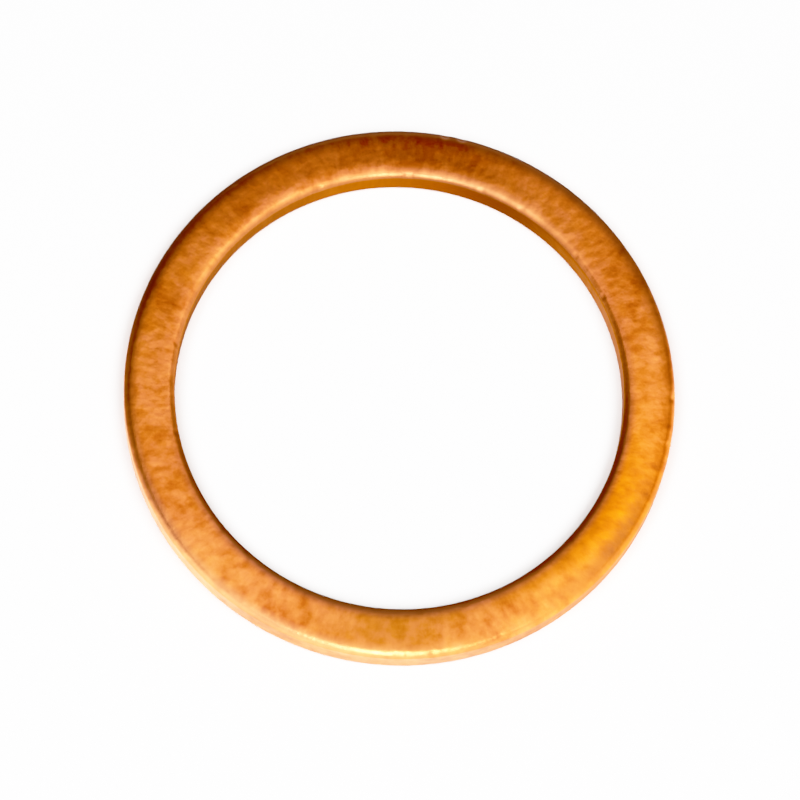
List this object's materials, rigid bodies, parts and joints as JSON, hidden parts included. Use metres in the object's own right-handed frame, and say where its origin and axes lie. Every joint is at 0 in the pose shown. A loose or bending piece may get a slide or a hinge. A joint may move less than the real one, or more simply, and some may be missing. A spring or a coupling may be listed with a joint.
{
  "type": "copper crush washer",
  "caption": "Flat copper sealing ring with rounded edges and shallow crowned faces, crushed under a screw plug to seal a port.",
  "frame": {"origin": "centre of the bore, in the plane of the lower sealing land", "axes": "+Z along the bore's axis, up through the ring; the ring is round, so X and Y are free"},
  "size_m": [0.0198, 0.0198, 0.0015],
  "materials": {
    "copper": "tumbled satin"
  },
  "bodies": {
    "root": {"washer": "copper"}
  },
  "joints": []
}
